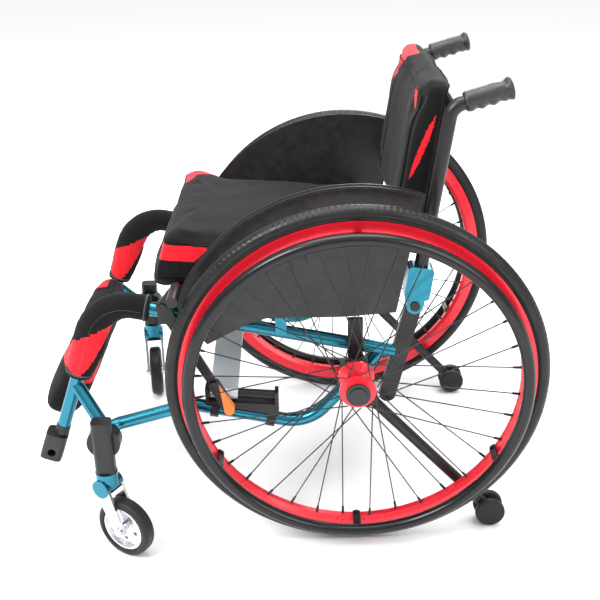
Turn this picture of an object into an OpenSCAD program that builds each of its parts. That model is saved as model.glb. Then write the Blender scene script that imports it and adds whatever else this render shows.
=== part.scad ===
// Active wheelchair with a folding cross frame, cambered quick-release wheels and swivel casters.
// +X is the chair's left, -Y its front and +Z up, and the ground is Z = 0.
// Parts are laid out from the rear axle line, then moved along Y so that the box is centred.

/* [Frame] */
// Distance between the two side frames, centre to centre
frame_w = 406; // [380:2:430]
// Outer diameter of the frame tubes
tube_d = 22; // [20:1:23]
// Wall of the frame tubes
tube_wall = 2; // [1.5:0.5:3]
// Height of the side rails over the rear axle
rail_h = 333; // [328:1:336]
// Fall of the side rails towards the back, in degrees
rail_slope = 12; // [11:0.5:12.5]
// Distance between the side rail and the lower rail, measured square to them
rail_gap = 160; // [156:1:166]
// Distance from the rear axle forward to the bend of the front tubes
knee_reach = 405; // [395:5:440]
// Lean of the front tubes from upright, in degrees
front_lean = 20; // [15:1:25]
// Length of the front tubes below the bend
front_drop = 240; // [225:5:250]

/* [Rear wheels] */
// Outer diameter of the rear tyres
wheel_d = 600; // [590:5:610]
// Thickness of the rear tyres
tyre_d = 25; // [22:1:28]
// Lean of the rear wheels, in degrees
camber = 3; // [0:0.5:4]
// Distance between the rear tyres at axle height
track = 554; // [550:2:590]
// Diameter of the handrim circle
handrim_d = 522; // [500:2:526]
// Thickness of the handrim tube
handrim_tube = 19; // [16:1:22]
// Distance of the handrim outboard of the tyre
handrim_offset = 35; // [32:1:40]
// Spokes in each wheel
spoke_count = 36; // [28:4:36]
// Diameter of the quick-release axles
axle_d = 12.7; // [11:0.1:13]

/* [Casters] */
// Outer diameter of the caster tyres
caster_d = 102; // [90:1:110]
// Width of the caster tyres
caster_w = 24; // [20:1:28]
// Distance between the two swivel axes
swivel_w = 560; // [550:2:580]
// Distance from the rear axle forward to the swivel axes
swivel_reach = 407; // [400:1:415]
// Distance of the caster axle behind its swivel axis
trail = 30; // [24:1:34]
// Outward swivel of the left caster, in degrees
left_swivel = 30; // [0:5:30]
// Outward swivel of the right caster, in degrees
right_swivel = -82; // [-90:2:30]

/* [Seat and back] */
// Height of the seat tubes over the rear axle
seat_h = 394; // [392:1:400]
// Fall of the seat tubes towards the back, in degrees
seat_slope = 5; // [4:0.5:6]
// Length of the seat tubes
seat_tube_l = 307; // [295:2:309]
// Width of the cushion
cushion_w = 388; // [360:2:390]
// Thickness of the cushion
cushion_t = 76; // [50:2:80]
// Depth of the cushion, front to back
cushion_l = 366; // [340:2:368]
// Lean of the back posts from upright, in degrees
back_lean = 8.5; // [6:0.5:11]
// Height of the bend of the back posts over the ground
back_h = 716; // [680:2:760]
// Rise of the push grips, in degrees
grip_rise = 16; // [5:1:25]
// Length of each push grip
grip_l = 72; // [60:2:100]
// Height of the back pad
back_pad_h = 258; // [220:2:264]
// Thickness of the back pad
back_pad_t = 54; // [30:2:54]

/* [Cross brace] */
// Width of the cross bars, front to back
bar_w = 45; // [35:1:46]
// Thickness of the cross bars
bar_t = 18; // [12:1:18]
// Drop from the seat tubes to the lower pivots, square to the seat tubes
brace_drop = 164; // [162:1:166]

/* [Anti-tip wheels] */
// Diameter of the anti-tip wheels
antitip_d = 50; // [40:1:52]
// Distance of the anti-tip wheels behind the rear axle
antitip_reach = 229; // [210:1:240]

/* [Hidden] */
$fn = 64;

frame_color = "#35b3c4";
black = "#26282a";
dark_grey = "#3c3f42";
silver = "#c9ccd0";
red = "#d81f2a";

rest_gap = 0.3;          // between pieces that rest on each other
fit_gap = 0.05;          // radial clearance of what turns or slides
bend_swell = 0.1;        // extra radius of a tube at a bend
bend_lap = 1;            // length by which straight tube runs into a bend
tube_r = tube_d / 2;
bore_r = tube_r - tube_wall;
frame_x = frame_w / 2;

// Heights of the side rail, lower rail and seat tubes at a distance y behind the axle
function rail_z(y) = rail_h - y * tan(rail_slope);
function low_z(y) = rail_z(y) - rail_gap / cos(rail_slope);
function seat_z(y) = seat_h - y * tan(seat_slope);
function pivot_z(y) = seat_z(y) - brace_drop / cos(seat_slope);

// Front tubes, drawn in (y, z)
knee = [-knee_reach, rail_z(-knee_reach)];
knee_r = 60;
front_dir = [-sin(front_lean), -cos(front_lean)];
front_end = knee + front_drop * front_dir;
vee = knee + front_drop * 0.66 * front_dir;
sleeve_d = 42;
sleeve_top_y = -326;
sleeve_end = vee - 16 * front_dir;

// Rear wheels, measured along each wheel's own axis from the middle of its tyre
tyre_ring = (wheel_d - tyre_d) / 2;
axle_z = tyre_ring * cos(camber) + tyre_d / 2;
hub_x = track / 2;
axle_r = axle_d / 2;
rim_inner = tyre_ring - tyre_d / 2 - 19;
rim_outer = tyre_ring - tyre_d / 2 + 4;
rim_w = tyre_d - 4;
hub_in = -32;
hub_out = 31;
flange_at = 21;
flange_r = 28.6;
spoke_r = 1;
spoke_foot = flange_r + 1.4;
spoke_sweep = 45;
spoke_shift = 1.6;
handrim_r = handrim_d / 2;
tab_count = 6;
tab_t = 3.6;

// Axle plate on the outside of the side frame
plate_x = frame_x + tube_r + rest_gap;
plate_t = 9;
plate_w = 24;
plate_z = [258, 386];
boss_r = 14;

// Anti-tip arms, pivoted under the axle plates
arm_t = 14;
arm_r = 9;
arm_x = plate_x + plate_t + rest_gap + arm_t / 2;
arm_pivot = [22, 250];
arm_pin_r = 8;
arm_eye_r = 14;
antitip_r = antitip_d / 2;
antitip_axle = [antitip_reach, antitip_r + 3];
antitip_pin_r = 5;
disc_t = 11;

// Casters
swivel_x = swivel_w / 2;
swivel_y = -swivel_reach;
housing = [26, 32];
housing_z = [150, 243];
caster_r = caster_d / 2;
caster_bolt_r = 4;
caster_band = 13;
fork_gap = caster_w + 4;
leg_t = 5;
crown_r = 16;
crown_z = housing_z[0] - 26;
stem_r = 6;
stem_top = housing_z[0] + 52;
disc_r = 27;
disc_x = [swivel_x - housing[0] / 2 - 10, swivel_x - housing[0] / 2];
disc_z = 200;

// Lower rail: rises at the back to the side rail and bends outward at the front to the caster
rise = 48;
rise_top_y = 45;
rise_foot_y = (low_z(0) - rail_z(rise_top_y) + rise_top_y * tan(rise)) / (tan(rise) + tan(rail_slope));
low_front_y = -270;
stub_x = disc_x[0] - 33;
low_path = [
    [frame_x, rise_top_y, rail_z(rise_top_y)],
    [frame_x, rise_foot_y, low_z(rise_foot_y)],
    [frame_x, low_front_y, low_z(low_front_y)],
    [stub_x, swivel_y, disc_z],
    [disc_x[0] - rest_gap, swivel_y, disc_z]
];
low_bends = [70, 80, 24];
diagonal_top = [frame_x, vee[0], vee[1]];
diagonal = [stub_x + 18, swivel_y, disc_z] - diagonal_top;

// Cross brace, laid out square to the seat tubes
pivot_r = 5;
barrel_r = 10;
brace_angle = atan(brace_drop / frame_w);
bar_len = norm([brace_drop, frame_w]);
bar_a_y = -202;
bar_b_y = bar_a_y + bar_w + 2;
seat_tube_end = 5;
bracket_y = [-246, -126];
bracket_w = 24;
ear_t = 6;

// Back posts, hinged on plates at the back of the side frames
hinge = [94, 404];
hinge_r = 5;
tongue_t = 12;
cheek_t = 9;
plate_foot = [54, 242];
plate_r = 13.5;
socket = [40, 54];
socket_from = 11;
post_from = 20;
back_dir = [sin(back_lean), cos(back_lean)];
back_bend = hinge + (back_h - hinge[1]) / cos(back_lean) * back_dir;
grip_dir = [cos(grip_rise), sin(grip_rise)];
bend_r = 25;
grip_from = 20;
post_end = back_bend + (grip_from + grip_l - 4) * grip_dir;
grip_r = 14;
back_pad_from = 92;
back_pad_back = 8;

// Brake: an arm pivots on a clamp on the side rail and presses a roller on the tyre
brake_pivot = [-302, 416];
brake_arm_t = 5;
brake_x = plate_x + plate_t + 3 + brake_arm_t / 2;
brake_pin_r = 4;
shoe_r = 9;
shoe_gap = 7;
shoe_z = brake_pivot[1] + 34;
shoe = [-sqrt(pow(wheel_d / 2 + shoe_r + shoe_gap, 2) - pow(shoe_z - axle_z, 2)), shoe_z];
brake_grip = [-226, 272];

// Foot tubes slide in the front tubes and carry a block with a socket for a footplate
foot_r = bore_r - fit_gap;
foot_in = 100;
collar_l = 18;
foot_block = [34, 36, 48];
block_shift = 6;
block_bore = 20;
foot_socket_r = 7;
foot_socket_depth = 23;
foot_socket_drop = 52;

// Sideguard
guard_t = 3;
guard_x = frame_x + tube_r + 5.5 + guard_t / 2;
guard_r = wheel_d / 2 + 8;
guard_lip = 8;
saddle_w = 18;
saddle_y = [-118, -262];

// The box runs from the front of the foot blocks to the back of the rear tyres
block_end = collar_l + 1 + foot_block[2];
front_reach = -front_end[0] + (foot_block[1] / 2 + block_shift) * cos(front_lean)
    + block_end * sin(front_lean);
centre_y = (front_reach - wheel_d / 2) / 2;

function unit(v) = v / norm(v);
function at_x(x, p) = [x, p[0], p[1]];
function turn(p, i) = acos(unit(p[i] - p[i - 1]) * unit(p[i + 1] - p[i]));
function trim(p, bends, i) = i == 0 || i == len(p) - 1 ? 0 : bends[i - 1] * tan(turn(p, i) / 2);
function arc(c, r, from, to, n) = [
    for (i = [0 : n]) c + r * [cos(from + (to - from) * i / n), sin(from + (to - from) * i / n)]
];
function rounded(w, h, r, n = 5) = concat(
    arc([w / 2 - r, h / 2 - r], r, 0, 90, n),
    arc([r - w / 2, h / 2 - r], r, 90, 180, n),
    arc([r - w / 2, r - h / 2], r, 180, 270, n),
    arc([w / 2 - r, r - h / 2], r, 270, 360, n)
);

// Placement

module side(s) {
    translate([0, centre_y, 0]) mirror([s < 0 ? 1 : 0, 0, 0]) children();
}

module towards(p, v) {
    u = unit(v);
    translate(p) rotate([0, acos(u[2]), atan2(u[1], u[0])]) children();
}

// Outlines drawn in (y, z), given a thickness t along x and centred on x
module upright(x, t) {
    translate([x, 0, 0]) rotate([90, 0, 90]) linear_extrude(t, center = true) children();
}

// A cylinder along x through the point p of (y, z)
module across(x0, x1, p, r) {
    translate([x0, p[0], p[1]]) rotate([0, 90, 0]) cylinder(h = x1 - x0, r = r);
}

module wheel_place() {
    translate([hub_x, 0, axle_z]) rotate([0, 90 + camber, 0]) children();
}

module caster_place(swivel) {
    translate([swivel_x, swivel_y, 0]) rotate([0, 0, -swivel]) children();
}

// Square to the seat tubes: y runs back along them and z stands on them
module seat_place() {
    translate([0, 0, seat_h]) rotate([-seat_slope, 0, 0]) children();
}

// z runs up along the back posts from their hinge
module back_place() {
    translate(at_x(0, hinge)) rotate([-back_lean, 0, 0]) children();
}

// z runs up along the front tubes from their lower end
module foot_place() {
    translate(at_x(frame_x, front_end)) rotate([-front_lean, 0, 0]) children();
}

// Shared shapes

module tube_section(d, wall) {
    difference() {
        circle(d = d);
        circle(d = d - 2 * wall);
    }
}

// A rod through the points, with a round bend at each inner point that is thicker by bend_swell
module bent_rod(points, bends, r) {
    last = len(points) - 1;
    for (i = [0 : last - 1]) {
        u = unit(points[i + 1] - points[i]);
        from = trim(points, bends, i) - (i == 0 ? 0 : bend_lap);
        to = norm(points[i + 1] - points[i]) - trim(points, bends, i + 1) + (i == last - 1 ? 0 : bend_lap);
        towards(points[i] + u * from, u) cylinder(h = to - from, r = r);
    }
    for (i = [1 : last - 1]) {
        u = unit(points[i] - points[i - 1]);
        v = unit(points[i + 1] - points[i]);
        n = unit(v - (u * v) * u);
        w = cross(u, n);
        c = points[i] - u * trim(points, bends, i) + n * bends[i - 1];
        multmatrix([
            [-n[0], u[0], w[0], c[0]],
            [-n[1], u[1], w[1], c[1]],
            [-n[2], u[2], w[2], c[2]],
            [0, 0, 0, 1]
        ]) rotate_extrude(angle = turn(points, i)) translate([bends[i - 1], 0]) circle(r = r + bend_swell);
    }
}

module bent_tube(points, bends, outer_r, inner_r) {
    difference() {
        bent_rod(points, bends, outer_r);
        bent_rod(points, bends, inner_r);
    }
}

// A link with a round end at p and at q
module link(p, q, rp, rq) {
    a = atan2(q[1] - p[1], q[0] - p[0]);
    b = acos((rp - rq) / norm(q - p));
    translate(p) circle(r = rp);
    translate(q) circle(r = rq);
    polygon([
        p + rp * [cos(a + b), sin(a + b)], q + rq * [cos(a + b), sin(a + b)],
        q + rq * [cos(a - b), sin(a - b)], p + rp * [cos(a - b), sin(a - b)]
    ]);
}

// The space of the side rail, from the back of the chair forward
module rail_space(r) {
    towards([frame_x, 80, rail_z(80)], [0, -cos(rail_slope), sin(rail_slope)]) cylinder(h = 420, r = r);
}

module back_plate_shape(grow) {
    upright(frame_x, tongue_t + 2 * grow) link(plate_foot, hinge, plate_r + grow, plate_r + grow);
}

// Frame

module seat_rail() color(frame_color) {
    path = [[frame_x, 64, rail_z(64)], at_x(frame_x, knee), at_x(frame_x, front_end)];
    difference() {
        bent_tube(path, [knee_r], tube_r, bore_r);
        back_plate_shape(rest_gap);
    }
    for (i = [0, 1]) saddle(saddle_y[i], i == 0 ? guard_x - guard_t / 2 - rest_gap : frame_x + 12);
}

// A cradle on top of the side rail, open at the top, that the seat tube drops into
module saddle(y, outer_x) {
    difference() {
        translate([frame_x - 12, y - saddle_w / 2, rail_z(y)])
            cube([outer_x - frame_x + 12, saddle_w, seat_z(y) - rail_z(y)]);
        translate([frame_x, 0, 0]) seat_place() rotate([-90, 0, 0])
            cylinder(h = 800, r = tube_r + rest_gap, center = true);
        rail_space(tube_r);
    }
}

module lower_rail() color(frame_color) {
    difference() {
        bent_tube(low_path, low_bends, tube_r, bore_r);
        rail_space(tube_r + rest_gap);
    }
    difference() {
        towards(diagonal_top, diagonal) linear_extrude(norm(diagonal)) tube_section(tube_d, tube_wall);
        towards(at_x(frame_x, knee), at_x(0, front_dir)) cylinder(h = front_drop, r = tube_r + rest_gap);
        across(stub_x - 30, disc_x[0], [swivel_y, disc_z], tube_r + rest_gap);
    }
}

// Rests on the lower rail and holds the pivot pin of one cross bar, whose middle is at bar_y
module slide_bracket(bar_y) color(black) {
    foot = (tube_r + rest_gap) / cos(rail_slope);
    y0 = bracket_y[0];
    y1 = bracket_y[1];
    floor_drop = barrel_r + 2;
    upright(frame_x, bracket_w) polygon([
        [y0, low_z(y0) + foot], [y1, low_z(y1) + foot],
        [y1, pivot_z(y1) + barrel_r], [y1 - ear_t, pivot_z(y1 - ear_t) + barrel_r],
        [y1 - ear_t, pivot_z(y1 - ear_t) - floor_drop], [y0 + ear_t, pivot_z(y0 + ear_t) - floor_drop],
        [y0 + ear_t, pivot_z(y0 + ear_t) + barrel_r], [y0, pivot_z(y0) + barrel_r]
    ]);
    seat_place() translate([frame_x, 0, -brace_drop]) rotate([-90, 0, 0]) {
        ends = [
            (y0 + 2 + brace_drop * sin(seat_slope)) / cos(seat_slope),
            (y1 - 2 + brace_drop * sin(seat_slope)) / cos(seat_slope)
        ];
        half = bar_w / 2 + rest_gap;
        translate([0, 0, ends[0]]) cylinder(h = ends[1] - ends[0], r = pivot_r);
        translate([0, 0, ends[0]]) cylinder(h = bar_y - half - ends[0], r = pivot_r + 3);
        translate([0, 0, bar_y + half]) cylinder(h = ends[1] - bar_y - half, r = pivot_r + 3);
    }
    for (y = [y0 + 14, y1 - 14]) difference() {
        towards([frame_x, y + 7, low_z(y + 7)], [0, -cos(rail_slope), sin(rail_slope)])
            linear_extrude(14) tube_section(tube_d + 8, 4 - rest_gap);
        translate([frame_x - 30, y - 30, low_z(y) + tube_r]) cube([60, 60, 40]);
    }
}

module caster_housing() color(black) {
    difference() {
        union() {
            translate([swivel_x, swivel_y, housing_z[0]]) linear_extrude(housing_z[1] - housing_z[0])
                polygon(rounded(housing[0], housing[1], 8));
            across(disc_x[0], swivel_x, [swivel_y, disc_z], disc_r);
        }
        translate([swivel_x, swivel_y, housing_z[0] - 1])
            cylinder(h = stem_top + 3 - housing_z[0], r = stem_r + fit_gap);
    }
}

module axle_plate() color(black) {
    difference() {
        union() {
            translate([plate_x, -plate_w / 2, plate_z[0]]) cube([plate_t, plate_w, plate_z[1] - plate_z[0]]);
            upright(plate_x + plate_t / 2, plate_t) link([0, plate_z[0] + 14], arm_pivot, 12, arm_eye_r);
            wheel_place() translate([0, 0, plate_x - hub_x + 3])
                cylinder(h = hub_x - plate_x - 3 + hub_in - rest_gap, r = boss_r);
            across(plate_x, arm_x + arm_t / 2 + rest_gap, arm_pivot, arm_pin_r);
            across(arm_x + arm_t / 2 + rest_gap, arm_x + arm_t / 2 + 3, arm_pivot, arm_pin_r + 3);
        }
        wheel_place() cylinder(h = 200, r = axle_r + fit_gap, center = true);
    }
    for (z = [rail_z(0), low_z(0) + 104]) across(plate_x + plate_t, plate_x + plate_t + 4, [0, z], 6);
}

module axle_pin() {
    color(silver) wheel_place() translate([0, 0, plate_x - hub_x - 6])
        cylinder(h = hub_x - plate_x + 6 + hub_out + rest_gap, r = axle_r);
    color(black) wheel_place() translate([0, 0, hub_out + rest_gap]) {
        cylinder(h = 3, r = 19);
        cylinder(h = 5, r = 13);
    }
}

module back_bracket() color(black) {
    back_plate_shape(0);
    pin = tongue_t / 2 + cheek_t + 2 * rest_gap;
    across(frame_x - pin, frame_x + pin, hinge, hinge_r);
    for (s = [-1, 1]) translate([s * (pin + 1), 0, 0]) across(frame_x - 1, frame_x + 1, hinge, hinge_r + 3);
}

module sideguard() color(dark_grey) {
    panel = concat(arc([0, axle_z], guard_r, 157, 70, 24), [
        [84, 500], [64, 396], [-20, 390], [-140, 390], [-172, 380], [-236, 346], [-268, 384]
    ]);
    upright(guard_x, guard_t) polygon(panel);
    translate([guard_x, 0, axle_z]) rotate([90, 0, 90])
        rotate([0, 0, 72]) rotate_extrude(angle = 72) translate([guard_r - 6, 0]) square([4, guard_lip]);
}

module brake_mount() color(black) {
    y = brake_pivot[0];
    difference() {
        translate([frame_x + 2, y - 10, rail_z(y) - 15]) cube([tube_r + 4, 20, 23]);
        rail_space(tube_r + rest_gap);
    }
    ear = [plate_x, plate_x + 5];
    upright(ear[0] + 2.5, 5) link([y, rail_z(y) - 4], brake_pivot, 9, 9);
    across(ear[1], brake_x + brake_arm_t / 2 + rest_gap, brake_pivot, brake_pin_r);
    across(brake_x + brake_arm_t / 2 + rest_gap, brake_x + brake_arm_t / 2 + 3, brake_pivot, brake_pin_r + 3);
    across(ear[1], brake_x - brake_arm_t / 2 - rest_gap, brake_pivot, brake_pin_r + 2);
}

module brake_lever() {
    color(black) difference() {
        upright(brake_x, brake_arm_t) {
            link(brake_pivot, brake_grip, 10, 7);
            link(brake_pivot, shoe, 10, 7);
        }
        across(brake_x - 10, brake_x + 10, brake_pivot, brake_pin_r + fit_gap);
    }
    color(silver) across(brake_x + brake_arm_t / 2, hub_x + 12, shoe, shoe_r);
    color("#e8862c") upright(brake_x, 16) link(brake_grip - [2, -4], brake_grip + [20, -40], 8.5, 8.5);
}

// Front tubes

module sleeve() color(black) {
    path = [[frame_x, sleeve_top_y, rail_z(sleeve_top_y)], at_x(frame_x, knee), at_x(frame_x, sleeve_end)];
    bent_tube(path, [knee_r], sleeve_d / 2, tube_r + rest_gap);
}

module foot_tube() {
    color(silver) foot_place() translate([0, 0, -collar_l - block_bore + 2])
        cylinder(h = foot_in + collar_l + block_bore - 2, r = foot_r);
    color(black) foot_place() translate([0, 0, -collar_l - 0.5]) difference() {
        cylinder(h = collar_l, r = tube_r + 1);
        translate([0, 0, -1]) cylinder(h = collar_l + 2, r = foot_r);
    }
}

module foot_block() color(black) {
    foot_place() difference() {
        translate([0, -block_shift, -block_end]) linear_extrude(foot_block[2])
            polygon(rounded(foot_block[0], foot_block[1], 9));
        translate([0, 0, -collar_l - block_bore]) cylinder(h = block_bore + 5, r = foot_r + fit_gap);
        translate([foot_block[0] / 2 + 1, -block_shift, -foot_socket_drop])
            rotate([0, -90, 0]) cylinder(h = foot_socket_depth + 1, r = foot_socket_r);
    }
}

// Casters, drawn with the wheel trailing straight back

caster_axle = [trail, caster_r];

module caster_fork(swivel) color(frame_color) caster_place(swivel) {
    half = fork_gap / 2 + leg_t;
    difference() {
        union() {
            across(-half - 1, half + 1, [0, crown_z], crown_r);
            translate([0, 0, crown_z]) cylinder(h = housing_z[0] - rest_gap - crown_z, r = crown_r + 2);
            translate([0, 0, crown_z]) cylinder(h = stem_top - crown_z, r = stem_r);
            for (s = [-1, 1]) upright(s * (half - leg_t / 2), leg_t)
                link([0, crown_z], caster_axle, crown_r - 1, 10);
        }
        across(-half - 1, half + 1, caster_axle, caster_bolt_r + fit_gap);
    }
}

module caster_axle(swivel) color(silver) caster_place(swivel) {
    half = fork_gap / 2 + leg_t + rest_gap;
    across(-half, half, caster_axle, caster_bolt_r);
    across(half, half + 3, caster_axle, 7);
    across(-half - 3, -half, caster_axle, 7);
}

module caster_ring(swivel) {
    caster_place(swivel) translate(at_x(0, caster_axle)) rotate([0, 90, 0]) children();
}

module caster_rim(swivel) color(silver) caster_ring(swivel) {
    rim_r = caster_r - caster_band;
    difference() {
        rotate_extrude() polygon([
            [caster_bolt_r + fit_gap, -fork_gap / 2 + 0.5], [9, -fork_gap / 2 + 0.5], [9, -4],
            [rim_r - 5, -3], [rim_r - 3, 2 - caster_w / 2], [rim_r, 2 - caster_w / 2],
            [rim_r, caster_w / 2 - 2], [rim_r - 3, caster_w / 2 - 2], [rim_r - 5, 3],
            [9, 4], [9, fork_gap / 2 - 0.5], [caster_bolt_r + fit_gap, fork_gap / 2 - 0.5]
        ]);
        for (a = [0 : 72 : 359]) rotate(a) translate([(rim_r + 4) / 2, 0, -20]) cylinder(h = 40, r = 4);
    }
}

module caster_tyre(swivel) color(black) caster_ring(swivel) rotate_extrude() difference() {
    wall = caster_band - rest_gap;
    translate([caster_r - wall / 2, 0]) polygon(rounded(wall, caster_w, 6));
}

// Rear wheels

module tyre() color(black) wheel_place() rotate_extrude($fn = 128) translate([tyre_ring, 0])
    circle(d = tyre_d);

module rim() color(red) wheel_place() rotate_extrude($fn = 128) difference() {
    polygon([
        [rim_inner, -5], [rim_inner + 6, -rim_w / 2 + 1], [rim_outer, -rim_w / 2],
        [rim_outer, rim_w / 2], [rim_inner + 6, rim_w / 2 - 1], [rim_inner, 5]
    ]);
    translate([tyre_ring, 0]) circle(d = tyre_d + 0.4);
}

module spokes() color(dark_grey) wheel_place() for (i = [0 : spoke_count - 1]) {
    outboard = i % 2 == 0 ? 1 : -1;
    lead = floor(i / 2) % 2 == 0 ? 1 : -1;
    a = 360 * (i + 0.5) / spoke_count;
    foot_z = outboard * flange_at + lead * spoke_shift;
    foot = [spoke_foot * cos(a + lead * spoke_sweep), spoke_foot * sin(a + lead * spoke_sweep), foot_z];
    tip_r = rim_inner - rest_gap - 0.2;
    tip = [tip_r * cos(a), tip_r * sin(a), outboard * 3];
    towards(foot, tip - foot) cylinder(h = norm(tip - foot), r = spoke_r, $fn = 16);
}

module hub() color(red) wheel_place() rotate_extrude() polygon([
    [axle_r + fit_gap, hub_in], [boss_r, hub_in], [boss_r, -26], [flange_r, -flange_at - 2],
    [flange_r, 2 - flange_at], [16, -12], [14, 0], [16, 12], [flange_r, flange_at - 2],
    [flange_r, flange_at + 2], [21, 26], [21, hub_out], [axle_r + fit_gap, hub_out]
]);

module handrim() color(black) wheel_place() {
    rotate_extrude($fn = 128) translate([handrim_r, handrim_offset]) circle(d = handrim_tube);
    reach = handrim_offset + 4;
    for (i = [0 : tab_count - 1]) rotate(i * 360 / tab_count) {
        translate([rim_inner - rest_gap - tab_t, -6, -4]) cube([tab_t, 12, reach]);
        translate([rim_inner - rest_gap - tab_t - 2, 0, 0]) rotate([0, 90, 0]) cylinder(h = 3, r = 3.5);
    }
}

// Back

module back_post() {
    start = hinge + post_from * back_dir;
    color(frame_color) difference() {
        back_place() {
            translate([0, 0, socket_from + socket[1] / 2]) upright(frame_x, tongue_t + 2 * (rest_gap + cheek_t))
                polygon(rounded(socket[0], socket[1], 6));
            upright(frame_x, tongue_t + 2 * (rest_gap + cheek_t)) link([0, 0], [0, 24], plate_r, plate_r);
        }
        back_place() upright(frame_x, tongue_t + 2 * rest_gap) union() {
            circle(r = plate_r + 1);
            translate([-20, -40]) square([40, 40]);
            translate([0, -20]) rotate(20) translate([-30, -20]) square([60, 24]);
        }
        across(frame_x - 40, frame_x + 40, hinge, hinge_r + fit_gap);
    }
    path = [at_x(frame_x, hinge + (socket_from + socket[1]) * back_dir), at_x(frame_x, back_bend),
        at_x(frame_x, post_end)];
    color(black) bent_tube(path, [bend_r], tube_r, bore_r);
}

module push_grip() color(dark_grey) {
    start = back_bend + grip_from * grip_dir;
    ridges = 8;
    outline = [for (i = [0 : 4 * ridges]) [grip_r - 0.6 * (1 - cos(i * 90)), grip_l * 0.85 * i / (4 * ridges)]];
    towards(at_x(frame_x, start), at_x(0, grip_dir)) rotate_extrude() difference() {
        polygon(concat([[0, 0]], outline, [[grip_r + 2, grip_l - 6], [grip_r + 2, grip_l - 2],
            [grip_r - 2, grip_l], [0, grip_l]]));
        square([tube_r + fit_gap, grip_l - 4 + rest_gap]);
    }
}

module back_pad() color(black) side(1) back_place()
    translate([0, back_pad_back - back_pad_t / 2, back_pad_from + back_pad_h / 2])
    upright(0, frame_w - tube_d - 2 * rest_gap) polygon(rounded(back_pad_t, back_pad_h, 16));

module back_pocket() color(dark_grey) side(1) back_place()
    translate([0, back_pad_back + rest_gap + 5, back_pad_from + back_pad_h / 2])
    upright(0, 0.75 * frame_w) polygon(rounded(10, 0.7 * back_pad_h, 4));

// Seat

module seat_sling() color(black) side(1) seat_place()
    translate([-frame_x - 3, seat_tube_end - seat_tube_l + 2, tube_r + rest_gap])
    cube([frame_w + 6, seat_tube_l - 4, 2.6]);

module cushion() color(black) side(1) seat_place()
    translate([0, seat_tube_end + 41 - cushion_l / 2, tube_r + 2 * rest_gap + 2.6 + cushion_t / 2])
    upright(0, cushion_w) polygon(rounded(cushion_l, cushion_t, 20));

module calf_pad() color(black) side(1) translate([-frame_x, 0, 0]) foot_place()
    translate([0, -5, front_drop - 125]) upright(0, frame_w - sleeve_d - 2 * rest_gap)
    polygon(rounded(58, 180, 24));

// Cross brace: a bar from the lower pivot on the left (s = 1) or right up to the other seat tube

module brace(s, bar_y) color(silver) side(s) seat_place() difference() {
    union() {
        translate([0, bar_y, -brace_drop / 2]) rotate([0, brace_angle, 0])
            cube([bar_len, bar_w, bar_t], center = true);
        translate([frame_x, bar_y, -brace_drop]) rotate([90, 0, 0])
            cylinder(h = bar_w, r = barrel_r, center = true);
        translate([-frame_x, seat_tube_end, 0]) rotate([90, 0, 0]) cylinder(h = seat_tube_l, r = tube_r);
    }
    translate([-frame_x, seat_tube_end + 1, 0]) rotate([90, 0, 0]) cylinder(h = seat_tube_l + 2, r = bore_r);
    translate([frame_x, bar_y, -brace_drop]) rotate([90, 0, 0])
        cylinder(h = bar_w + 2, r = pivot_r + fit_gap, center = true);
    translate([0, bar_y, -brace_drop / 2]) rotate([90, 0, 0])
        cylinder(h = bar_w + 2, r = pivot_r + fit_gap, center = true);
}

module brace_bolt() color(silver) side(1) seat_place() translate([0, 0, -brace_drop / 2]) rotate([-90, 0, 0]) {
    front = bar_a_y - bar_w / 2 - rest_gap;
    back = bar_b_y + bar_w / 2 + rest_gap;
    translate([0, 0, front - 4]) cylinder(h = back - front + 8, r = pivot_r);
    translate([0, 0, front - 5]) cylinder(h = 5, r = 9);
    translate([0, 0, back]) cylinder(h = 5, r = 9);
}

// Anti-tip arms and wheels

module antitip_arm() color(black) {
    reach = antitip_axle - arm_pivot;
    difference() {
        union() {
            towards(at_x(arm_x, arm_pivot), at_x(0, reach)) cylinder(h = norm(reach), r = arm_r);
            across(arm_x - arm_t / 2, arm_x + arm_t / 2, arm_pivot, arm_eye_r);
            across(arm_x - arm_t / 2, arm_x + arm_t / 2, antitip_axle, arm_r + 1);
        }
        across(arm_x - 20, arm_x + 20, arm_pivot, arm_pin_r + fit_gap);
        across(arm_x - 20, arm_x + 20, antitip_axle, antitip_pin_r + fit_gap);
        for (s = [-1, 1]) translate([arm_x + s * (arm_t / 2 + 10), 0, 0]) {
            across(-10, 10, arm_pivot, arm_eye_r + 4);
            across(-10, 10, antitip_axle, antitip_r + 2);
        }
    }
}

module antitip_wheel() color(dark_grey) {
    inner = arm_t / 2 + rest_gap;
    across(arm_x - inner, arm_x + inner, antitip_axle, antitip_pin_r);
    for (s = [-1, 1]) translate([arm_x + s * (inner + disc_t / 2), antitip_axle[0], antitip_axle[1]])
        rotate([0, 90, 0]) rotate_extrude() translate([antitip_r / 2, 0]) polygon(concat(
            arc([antitip_r / 2 - 3, disc_t / 2 - 3], 3, 0, 90, 4), [[-antitip_r / 2, disc_t / 2],
            [-antitip_r / 2, -disc_t / 2]], arc([antitip_r / 2 - 3, 3 - disc_t / 2], 3, 270, 360, 4)));
}

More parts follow.
